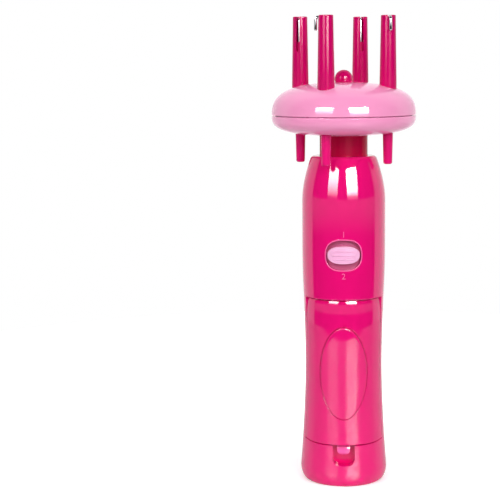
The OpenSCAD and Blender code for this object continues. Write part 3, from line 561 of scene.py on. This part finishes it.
# Latch tongue
# A springy tongue at the door's foot, which stands in the finger notch; its lighter pink is painted light.
# Its root is fixed behind the door, and its lip is pressed to let the door go.
latch_width, latch_corner, latch_round, latch_thick, latch_fit = 6.5, 2.4, 0.25, 1.0, 0.2
latch_top, latch_low = door_bottom + 5, door_bottom - 5.1
latch_root = latch_fit - math.sqrt((handle_radius(latch_top) - wall) ** 2 - (latch_width / 2) ** 2)
latch_lip, latch_back = latch_root - 1.2, latch_root + latch_thick
latch_line = [
    (latch_root, latch_top), (latch_root, door_bottom + 0.3), (latch_lip + 0.3, door_bottom - 1.0),
    (latch_lip, door_bottom - 1.7), (latch_lip, latch_low + 1), (latch_lip + 0.6, latch_low + 0.2),
    (latch_lip + 1.4, latch_low), (latch_root + 0.7, latch_low + 0.4), (latch_back, latch_low + 1.2),
    (latch_back, latch_top),
]
latch = prism("latch_tongue", latch_line, -latch_width / 2, latch_width / 2)
latch.data.transform(Matrix.Rotation(math.pi / 2, 4, "Z"))
tongue_side, tongue_low, tongue_top = latch_width / 2 - latch_corner, latch_low + 0.4, latch_top + 1
tongue = [(-latch_width, tongue_top)] + [
    (side * (tongue_side + latch_corner * math.cos(a)), tongue_low + latch_corner * (1 - math.sin(a)))
    for side, turns in ((-1, levels(0, math.pi / 2, 8)), (1, levels(math.pi / 2, 0, 8))) for a in turns
] + [(latch_width, tongue_top)]
cut(latch, prism("tongue_outline", tongue, far_front, 0), "INTERSECT")
soften(latch, latch_round, lambda x, y, z: z < door_bottom and y < latch_lip + 0.7, sharpness=35)
# The tongue is of the handle's plastic, painted a lighter pink as the light that falls on its face.
latch_painted_light_pink = gloss_moulding("latch_painted_light_pink", (0.9, 0.085, 0.36), roughness=0.12)
finished(latch, latch_painted_light_pink, "latch", "handle_plastic", "door_latch")

# Slide switch
# A pale pink thumb piece with a rounded rim and three low grip bars, moulded with the curved skirt behind it.
# The skirt slides behind the front shell and always fills the window.
slider_width, slider_tall, slider_power = 15.9, 8.5, 2.4
slider_out, slider_round, thumb_reach, thumb_back = 0.4, 0.6, 8, -10
bar_out, bar_sink, bar_tall, bar_pitch, bar_flare = 0.35, 0.4, 0.8, 2.1, 0.15
bar_inset_x, bar_inset_z = 4.4, 1.2
slider_face = handle_radius(window_middle) + slider_out
skirt_fit, skirt_thick, skirt_overlap, skirt_tall, skirt_half = 0.4, 1, 0.5, 21.3, 33.2
skirt_outer = handle_radius(window_middle) - wall - skirt_fit
skirt_inner = skirt_outer - skirt_thick


def ring(inner, outer, low, high):
    """The section of a ring, as radius and height."""
    return [(inner, low), (outer, low), (outer, high), (inner, high), (inner, low)]


thumb_low, thumb_high = window_middle - thumb_reach, window_middle + thumb_reach
slider = turned("switch_thumb", ring(skirt_outer - skirt_overlap, slider_face, thumb_low, thumb_high), 240)
thumb_line = oval(slider_width, slider_tall, window_middle, slider_power)
cut(slider, prism("thumb_outline", thumb_line, far_front, thumb_back), "INTERSECT")
soften(slider, slider_round, lambda x, y, z: abs(math.hypot(x, y) - slider_face) < 0.02, segments=4)
bar_line = []
for bar in (-1, 0, 1):
    middle = window_middle + bar * bar_pitch
    bar_line += [(slider_face - bar_sink, middle - bar_tall / 2 - bar_flare)]
    bar_line += [
        (slider_face + bar_out * math.cos(a), middle + bar_tall / 2 * math.sin(a))
        for a in levels(-1.3, 1.3, 8)
    ]
    bar_line += [(slider_face - bar_sink, middle + bar_tall / 2 + bar_flare)]
bar_line += [(skirt_outer, bar_line[-1][1]), (skirt_outer, bar_line[0][1]), bar_line[0]]
bars = turned("grip_bars", bar_line, 240)
bar_edge = oval(slider_width - bar_inset_x, slider_tall - bar_inset_z, window_middle, slider_power)
cut(bars, prism("bar_outline", bar_edge, far_front, thumb_back), "INTERSECT")
skirt_low = window_middle - skirt_tall / 2
skirt_line = ring(skirt_inner, skirt_outer, skirt_low, skirt_low + skirt_tall)
skirt = wedge(turned("skirt", skirt_line), -90 - skirt_half, skirt_half - 90)
joined(slider, bars)
pale_pink = gloss_moulding("pale_pink_moulding", (0.9, 0.45, 0.7), roughness=0.28, specular=0.2)
# The skirt is of the thumb's pale pink plastic, painted darker as the shade that falls in the window's
# recess.
skirt_painted_shade_pink = gloss_moulding("pale_pink_painted_shade", (0.52, 0.11, 0.24), roughness=0.3, specular=0.15)
finished(slider, pale_pink, "switch", "switch_plastic", "switch_slider")
finished(skirt, skirt_painted_shade_pink, "switch", "switch_plastic")

# Switch positions
# A fine lip round the window and raised plain numbers above and below it, in a lighter tone than the shell.
# Each number is a flat text made solid, sunk a little into the skin that it stands on.
number_tall, number_rise, number_sink, number_scale = 3.0, 0.12, 0.3, 1.4
number_places = (("1", 127.7), ("2", 106.9))
numbers_and_highlight_magenta = gloss_moulding("numbers_and_highlight_magenta", (0.96, 0.11, 0.38), roughness=0.2)
# The lip's lighter tone is a painted highlight on the window's rounded edge.
lip_width, lip_rise, lip_depth, lip_fit = 0.55, 0.12, 0.6, 0.04
lip_span = levels(window_middle - window_tall, window_middle + window_tall, 60)
lip_line = [(handle_radius(z) + lip_rise, z) for z in lip_span]
lip_line += [(handle_radius(z) - lip_depth, z) for z in reversed(lip_span)]
lip = turned("window_lip_painted_highlight", lip_line + lip_line[:1], 360)
for grow, way in ((2 * lip_width, "INTERSECT"), (lip_fit, "DIFFERENCE")):
    edge_line = oval(window_width + grow, window_tall + grow, window_middle, window_power)
    cut(lip, prism("lip_edge", edge_line, far_front, thumb_back), way)
finished(lip, numbers_and_highlight_magenta, "handle", "handle_plastic")
for figure, number_z in number_places:
    bpy.ops.object.select_all(action="DESELECT")
    bpy.ops.object.text_add()
    number = bpy.context.object
    number.name = number.data.name = "number_" + figure
    number.data.body = figure
    number.data.align_x = "CENTER"
    number.data.align_y = "CENTER"
    number.data.size = number_tall * number_scale / 1000
    number.data.extrude = (number_rise + number_sink) / 2000
    bpy.ops.object.convert(target="MESH")
    skin_y = -handle_radius(number_z) - (number_rise - number_sink) / 2
    number.data.transform(
        Matrix.Translation((0, skin_y / 1000, number_z / 1000)) @ Matrix.Rotation(math.pi / 2, 4, "X")
    )
    finished(number, numbers_and_highlight_magenta, "handle", "handle_plastic")

# Neck
# A magenta tube with a flange that the two shells trap, and a spigot that the head turns on.
# A spring ring in the spigot's groove keeps the head from lifting off.
neck_radius, neck_top, neck_bore, neck_edge = 12.0, 176.2, 5.0, 0.3
flange_radius, flange_low, flange_high = 17.3, 151.0, 154.5
spigot_radius, spigot_top, groove_radius = 9.0, 186.4, 8.2
ring_low, ring_high = 184.65, 185.75
neck_line = [
    (neck_bore, flange_low), (flange_radius, flange_low), (flange_radius, flange_high),
    (neck_radius, flange_high), (neck_radius, neck_top - neck_edge), (neck_radius - neck_edge, neck_top),
    (spigot_radius, neck_top), (spigot_radius, ring_low), (groove_radius, ring_low),
    (groove_radius, ring_high), (spigot_radius, ring_high), (spigot_radius, spigot_top),
    (neck_bore, spigot_top), (neck_bore, flange_low),
]
# The neck is of the handle's plastic, painted a darker magenta as the head's shadow on it.
neck_painted_shade_magenta = gloss_moulding("neck_painted_shade_magenta", (0.5, 0.001, 0.055), roughness=0.2, specular=0.06)
finished(turned("neck", neck_line), neck_painted_shade_magenta, "handle", "handle_plastic", "neck_tube")

# Head
# Two glossy light pink shells, a shallow lower bowl and a domed upper one, which meet at a fine seam.
# Four screws from below hold them together, round the hub that turns on the neck.
head_radius, head_wall = 35.99, 2.0
head_bottom, head_seam, head_top = 175.4, 185.6, 202.0
low_power, up_power = 3.0, 2.7
seam_half, seam_round = 0.15, 0.3
hub_mouth, hub_hole, hub_pocket, hub_outer = 12.3, 9.3, 11.07, 13.55
hub_step, hub_floor, hub_top = 176.6, 177.9, 184.4
post_circle, post_bearing = 23.4, 158.7
head_screw_circle, boss_radius, boss_low, head_screw_seat = 24.0, 3.6, head_bottom + 2.3, 181.4
journal_hole, post_hole, centre_hole = 3.55, 4.25, 2.05
quarter_turn = [math.radians(a) for a in levels(0, 90, 60)]


def bowl(radius, height, power, least):
    """The outline of a flattened round from its rim in to a least radius, and its height there."""
    curve = [
        (radius * math.cos(a) ** (2 / power), height * math.sin(a) ** (2 / power))
        for a in quarter_turn[:-1]
    ]
    curve = [(r, h) for r, h in curve if h > seam_half + seam_round + 0.15 and r > least + 0.05]
    return curve + [(least, height * (1 - (least / radius) ** power) ** (1 / power))]


def seam_edge(way):
    """The rounded edge of the shell above or below the seam."""
    return [
        (head_radius - seam_round, head_seam + way * seam_half),
        (head_radius, head_seam + way * (seam_half + seam_round)),
    ]


def round_head(circle, turn):
    """Four places on a circle about the head's axis, turned from the posts' places by an angle."""
    bearings = [math.radians(post_bearing + turn + 90 * i) for i in range(4)]
    return [(circle * math.cos(a), circle * math.sin(a)) for a in bearings]


post_places = round_head(post_circle, 0)
head_screw_places = round_head(head_screw_circle, 45)
light_pink = gloss_moulding("light_pink_moulding", (0.97, 0.34, 0.6))

low_outer = bowl(head_radius, head_seam - head_bottom, low_power, hub_mouth)
low_inner = bowl(head_radius - head_wall, head_seam - head_bottom - head_wall, low_power, hub_outer)
low_line = seam_edge(-1) + [(r, head_seam - h) for r, h in low_outer]
low_line += [
    (hub_mouth, hub_step), (hub_hole, hub_step), (hub_hole, hub_floor), (hub_pocket, hub_floor),
    (hub_pocket, hub_top), (hub_outer, hub_top),
]
low_line += [(r, head_seam - h) for r, h in reversed(low_inner)]
low_line += [(head_radius - head_wall, head_seam - seam_half), low_line[0]]
lower = turned("head_lower", low_line, 240)
for x, y in head_screw_places:
    cut(lower, rod(boss_radius, boss_low, head_seam - seam_half - 0.01, x, y), "UNION")
    cut(lower, rod(screw_hole, head_bottom - 1, head_screw_seat, x, y))
for x, y in post_places:
    cut(lower, rod(journal_hole, head_bottom - 1, head_seam, x, y))
finished(lower, light_pink, "head", "head_plastic", "head_bottom_shell")

up_outer = bowl(head_radius, head_top - head_seam, up_power, centre_hole)
up_inner = bowl(head_radius - head_wall, head_top - head_seam - head_wall, up_power, centre_hole)
up_line = seam_edge(1) + [(r, head_seam + h) for r, h in up_outer]
up_line += [(r, head_seam + h) for r, h in reversed(up_inner)]
up_line += [(head_radius - head_wall, head_seam + seam_half), up_line[0]]
upper = turned("head_upper", up_line, 240)
for x, y in post_places:
    cut(upper, rod(post_hole, head_seam, head_top + 5, x, y))
finished(upper, light_pink, "head", "head_plastic", "head_top_shell")

# Centre knob
# A deep magenta ball-topped knob on a stem, pressed into the middle of the head.
knob_radius, knob_rise, stem_radius, stem_low = 4.5, 6.0, 2.0, 198.7
knob_middle = head_top + knob_rise - knob_radius
knob_foot = math.asin((head_top - knob_middle) / knob_radius)
knob_line = [(0, stem_low), (stem_radius, stem_low), (stem_radius, head_top)]
knob_line += [
    (knob_radius * math.cos(a), knob_middle + knob_radius * math.sin(a))
    for a in levels(knob_foot, math.pi / 2, 24)[:-1]
]
deep_magenta = gloss_moulding("deep_magenta_moulding", (0.6, 0.002, 0.125), roughness=0.06, specular=0.12)
knob = turned("knob", knob_line + [(0, knob_middle + knob_radius)], 96)
finished(knob, deep_magenta, "head", "post_plastic", "centre_knob")

# Posts
# Four tapered deep magenta tubes that turn in the head, each with a long slot and a notch opposite.
# One is turned and cut, and the rest are copies set round the head with the slot their own way.
journal_low, post_top = 177.1, 234.5
journal_radius, post_radius, post_top_radius, top_round = 3.5, 4.2, 3.65, 0.4
chamber_radius, chamber_top, guide_radius = 2.8, 210.0, 1.95
slot_width, slot_low, mouth_low, slot_start, slot_reach = 1.9, 217.0, 232.5, 0.5, 10
post_step, post_flange_low, post_flange_high = 183.2, 186.0, 187.4
post_flange_radius = post_radius + 1
post_line = [
    (chamber_radius, journal_low), (journal_radius, journal_low), (journal_radius, post_step),
    (post_radius, post_step), (post_radius, post_flange_low), (post_flange_radius, post_flange_low),
    (post_flange_radius, post_flange_high), (post_radius, post_flange_high), (post_radius, head_top),
]
post_line += [
    (post_top_radius - top_round * (1 - math.cos(a)), post_top - top_round * (1 - math.sin(a)))
    for a in levels(0, math.pi / 2, 5)
]
post_line += [(guide_radius, post_top), (guide_radius, chamber_top), (chamber_radius, chamber_top)]
post_line += post_line[:1]


def slot_cutter(start, stop, low):
    """A slot of the hook's width with a round foot, cut through the wall along X."""
    half = slot_width / 2
    foot = [(half * math.cos(a), low + half + half * math.sin(a)) for a in levels(-math.pi, 0, 12)]
    cutter = prism("slot", foot + [(half, post_top + 2), (-half, post_top + 2)], start, stop)
    cutter.data.transform(Matrix.Rotation(math.pi / 2, 4, "Z"))
    return cutter


def placed_copy(model, name, turn, place):
    """A copy with its own mesh, turned about Z and then moved."""
    piece = model.copy()
    piece.data = model.data.copy()
    piece.name = piece.data.name = name
    bpy.context.scene.collection.objects.link(piece)
    move = Matrix.Translation((place[0] / 1000, place[1] / 1000, 0))
    piece.data.transform(move @ Matrix.Rotation(math.radians(turn), 4, "Z"))
    return piece


hook_turns = (71, 180, -78, 102)
post = turned("post_model", post_line, 96)
cut(post, slot_cutter(slot_start, slot_reach, slot_low))
cut(post, slot_cutter(-slot_reach, -slot_start, mouth_low))
for number, (turn, place) in enumerate(zip(hook_turns, post_places), 1):
    tube = placed_copy(post, f"post_{number}_tube", turn, place)
    finished(tube, deep_magenta, f"post_{number}", "post_plastic", f"post_tube_{number}")
bpy.data.objects.remove(post)

# Hooks
# Bright plated wire that stands on the push peg's rod, crosses the post's mouth and turns down outside.
# It is bent from one length, with a blunt rounded end.
wire_radius, hook_bend, stem_out, leg_out = 0.75, 1.2, -0.95, 5.0
rod_top, crossing, leg_end = 222.0, 233.45, 226.95
tip_steps = ((0, 0.45), (0.25, 0.85), (0.7, 1))
quarter_bend = levels(0, math.pi / 2, 10)
wire_line = [(stem_out, rod_top)]
wire_line += [
    (stem_out + hook_bend * (1 - math.cos(a)), crossing - hook_bend * (1 - math.sin(a)))
    for a in quarter_bend
]
wire_line += [
    (leg_out - hook_bend * (1 - math.sin(a)), crossing - hook_bend * (1 - math.cos(a)))
    for a in quarter_bend
]
wire_line += [(leg_out, leg_end + rise) for rise, share in reversed(tip_steps)]


def drawn_wire(name, points, radius, sides):
    """A curve through points in millimetres with a round section, to be made a mesh."""
    piece = chain(name, points)
    bpy.ops.object.mode_set(mode="OBJECT")
    bpy.ops.object.convert(target="CURVE")
    piece.data.bevel_depth = radius / 1000
    piece.data.bevel_resolution = sides // 2 - 2
    piece.data.use_fill_caps = True
    return piece


hook = drawn_wire("hook_model", [(u, 0, z) for u, z in wire_line], wire_radius, 16)
tip = sorted(hook.data.splines[0].points, key=lambda point: (-point.co.x, point.co.z))
for point, (rise, share) in zip(tip, tip_steps):
    point.radius = share
bpy.ops.object.convert(target="MESH")
plate_colour = (0.5, 0.5, 0.52, 1)
chrome, chrome_tree, chrome_shader = blank_finish("bright_plate", Base_Color=plate_colour, Metallic=1)
chrome_where = node(chrome_tree, "TexCoord")
drawn = node(chrome_tree, "TexNoise", Scale=900)
polish = node(chrome_tree, "MapRange", To_Min=0.06, To_Max=0.16)
link(chrome_tree, chrome_where, "Object", drawn, "Vector")
link(chrome_tree, drawn, "Fac", polish, "Value")
link(chrome_tree, polish, "Result", chrome_shader, "Roughness")
for number, (turn, place) in enumerate(zip(hook_turns, post_places), 1):
    wire = placed_copy(hook, f"hook_{number}_wire", turn, place)
    finished(wire, chrome, f"plunger_{number}", "hook_wire", f"hook_{number}", angle=60)
bpy.data.objects.remove(hook)

# Push pegs
# Deep magenta pegs with rounded ends hang under the head, and their rods carry the hooks up the posts.
# A collar on each takes the return spring's push.
peg_low, peg_tip_radius, peg_radius, peg_round = 161.6, 2.2, 2.5, 1.0
collar_low, collar_high, collar_radius, rod_radius = 181.4, 184.4, 2.7, 1.75
peg_line = [(0, peg_low)]
peg_line += [
    (peg_tip_radius - peg_round * (1 - math.sin(a)), peg_low + peg_round * (1 - math.cos(a)))
    for a in levels(0, math.pi / 2, 8)
]
peg_line += [
    (peg_radius, head_bottom), (peg_radius, collar_low), (collar_radius, collar_low),
    (collar_radius, collar_high), (rod_radius, collar_high), (rod_radius, rod_top), (0, rod_top),
]
# The pegs are of the posts' plastic, painted a lighter magenta as the light that reaches them under the head.
peg_painted_light_magenta = gloss_moulding("peg_painted_light_magenta", (0.8, 0.007, 0.18), roughness=0.15, specular=0.15)
peg = turned("peg_model", peg_line, 64)
for number, place in enumerate(post_places, 1):
    pin = placed_copy(peg, f"peg_{number}", 0, place)
    finished(pin, peg_painted_light_magenta, f"plunger_{number}", "post_plastic", f"push_peg_{number}")
bpy.data.objects.remove(peg)

# Return springs
# Steel coils round the rods inside the posts, between the peg's collar and the top of the post's chamber.
spring_radius, spring_wire, spring_coils, spring_seat = 2.2, 0.25, 8, 0.05
spring_low = collar_high + spring_wire + spring_seat
spring_high = chamber_top - spring_wire - spring_seat
spring_turn = 2 * math.pi * spring_coils
coil_line = [
    (spring_radius * math.cos(spring_turn * t), spring_radius * math.sin(spring_turn * t),
     spring_low + (spring_high - spring_low) * t)
    for t in levels(0, 1, 20 * spring_coils)
]
coil = drawn_wire("spring_model", coil_line, spring_wire, 8)
bpy.ops.object.convert(target="MESH")
for number, (x, y) in enumerate(post_places, 1):
    spring = coated(placed_copy(coil, f"return_spring_{number}", 0, (x, y)), steel, 60)
    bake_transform(spring)
    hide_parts(f"hook_spring_{number}")
bpy.data.objects.remove(coil)

# Table
# A round white table with a soft sheen, which the camera sees as paper that glows more further out.
# It glows less near the tool, so that the shadow under the base shows.
# To other rays it is a darker grey, as painted shade in the light it gives the tool; gloss sees a faint glow.
table_radius, table_middle = 0.41, 0.09
bpy.ops.object.select_all(action="DESELECT")
bpy.ops.mesh.primitive_circle_add(
    vertices=160, radius=table_radius, fill_type="NGON", location=(0, table_middle, 0)
)
table = bpy.context.object
table.name = "table"
bpy.ops.object.transform_apply(location=True, rotation=True, scale=True)
table_grey_painted_shade, paper_colour, gloss_share = (0.7, 0.7, 0.7, 1), (0.9, 0.9, 0.9, 1), 0.16
table_white, tree, table_shader = blank_finish(
    "table_white", Base_Color=table_grey_painted_shade, Roughness=0.32, IOR=1.6
)
seen = node(tree, "LightPath")
table_place = node(tree, "TexCoord")
away = node(tree, "VectorMath", {"operation": "LENGTH"})
outward = node(tree, "MapRange", From_Min=0.04, From_Max=0.2, To_Min=0.4, To_Max=0.95)
paper = node(tree, "Emission")
matt = node(tree, "BsdfDiffuse", Color=paper_colour)
in_gloss = node(tree, "Math", {"operation": "MULTIPLY"})
in_gloss.inputs[1].default_value = gloss_share
bright = node(tree, "Math", {"operation": "MULTIPLY_ADD"})
shadowed = node(tree, "AddShader")
lit = node(tree, "AddShader")
shown = node(tree, "MixShader")
link(tree, table_place, "Object", away, 0)
link(tree, away, "Value", outward, "Value")
link(tree, seen, "Is Glossy Ray", in_gloss, 0)
link(tree, seen, "Is Camera Ray", bright, 0)
link(tree, outward, "Result", bright, 1)
link(tree, in_gloss, "Value", bright, 2)
link(tree, bright, "Value", paper, "Strength")
link(tree, paper, "Emission", shadowed, 0)
link(tree, matt, "BSDF", shadowed, 1)
link(tree, paper, "Emission", lit, 0)
link(tree, table_shader, "BSDF", lit, 1)
link(tree, seen, "Is Camera Ray", shown, "Fac")
link(tree, lit, "Shader", shown, 1)
link(tree, shadowed, "Shader", shown, 2)
link(tree, shown, "Shader", tree.nodes["Material Output"], "Surface")
table.data.materials.append(table_white)

# Studio light
# Lamps in front and behind light the tool, and the faces of two soft boxes are seen in its gloss alone.
# The room is white behind the tool and dark in front, apart from a strip of grey floor beyond the table.


def soft_box(name, azimuth, elevation, half_width, half_height, power, mirrored):
    """A soft box seen from the tool at angles in degrees: a lamp, or only the face that gloss shows."""
    distance = 1.2
    a, e = math.radians(azimuth), math.radians(elevation)
    middle = Vector((0, 0, 0.15))
    place = middle + distance * Vector((math.sin(a) * math.cos(e), -math.cos(a) * math.cos(e), math.sin(e)))
    lamp = bpy.data.lights.new(name, "AREA")
    lamp.shape = "RECTANGLE"
    lamp.size = 2 * distance * math.tan(math.radians(half_width))
    lamp.size_y = 2 * distance * math.tan(math.radians(half_height))
    lamp.energy = power
    if mirrored:
        lamp.use_nodes = True
        face = lamp.node_tree
        where = node(face, "NewGeometry")
        up_face = node(face, "SeparateXYZ")
        fade = node(face, "MapRange", From_Min=0.1, To_Min=0.03, To_Max=1.4)
        link(face, where, "Parametric", up_face, "Vector")
        link(face, up_face, "Y", fade, "Value")
        link(face, fade, "Result", face.nodes["Emission"], "Strength")
    box = bpy.data.objects.new(name, lamp)
    bpy.context.scene.collection.objects.link(box)
    aim = (middle - place).to_track_quat("-Z", "Y")
    box.matrix_world = Matrix.Translation(place) @ aim.to_matrix().to_4x4()
    box.visible_camera = False
    box.visible_glossy = mirrored
    box.visible_diffuse = not mirrored


soft_box("left_lamp", -35, 30, 20, 14, 5.7, False)
soft_box("right_lamp", 28, 30, 20, 14, 7.3, False)
soft_box("rear_lamp", 180, 42, 20, 14, 4.0, False)
soft_box("left_face", -31, 15.5, 14, 14.5, 30, True)
soft_box("right_face", 24.5, 15.5, 15, 14.5, 95, True)

world = bpy.data.worlds.new("studio")
bpy.context.scene.world = world
world.use_nodes = True
room = world.node_tree
dark, grey = (0.05, 0.05, 0.05, 1), (0.6, 0.6, 0.6, 1)
path = node(room, "LightPath")
direction = node(room, "TexCoord")
split = node(room, "SeparateXYZ")
behind = node(room, "MapRange", {"interpolation_type": "SMOOTHSTEP"}, From_Min=0.06, From_Max=0.14)
height = node(room, "MapRange", From_Min=-0.2, From_Max=0.2)
strip = node(room, "ValToRGB")
for end, place in zip(strip.color_ramp.elements, (0.2, 0.56)):
    end.position = place
    end.color = dark
for place in (0.24, 0.5):
    strip.color_ramp.elements.new(place).color = grey
mirror_room = node(room, "Mix", B=1.15)
ambient = node(room, "Mix", A=0.34)
backdrop = node(room, "Mix", B=1.0)
clear = node(room, "Math", {"operation": "MAXIMUM"})
background = preset(room.nodes["Background"], Color=(1, 1, 1, 1))
link(room, direction, "Generated", split, "Vector")
link(room, split, "Y", behind, "Value")
link(room, split, "Z", height, "Value")
link(room, height, "Result", strip, "Fac")
link(room, behind, "Result", mirror_room, "Factor")
link(room, strip, "Color", mirror_room, "A")
link(room, path, "Is Glossy Ray", ambient, "Factor")
link(room, mirror_room, "Result", ambient, "B")
link(room, path, "Is Camera Ray", clear, 0)
link(room, path, "Is Transmission Ray", clear, 1)
link(room, clear, "Value", backdrop, "Factor")
link(room, ambient, "Result", backdrop, "A")
link(room, backdrop, "Result", background, "Strength")

bpy.context.scene.view_settings.view_transform = "Standard"
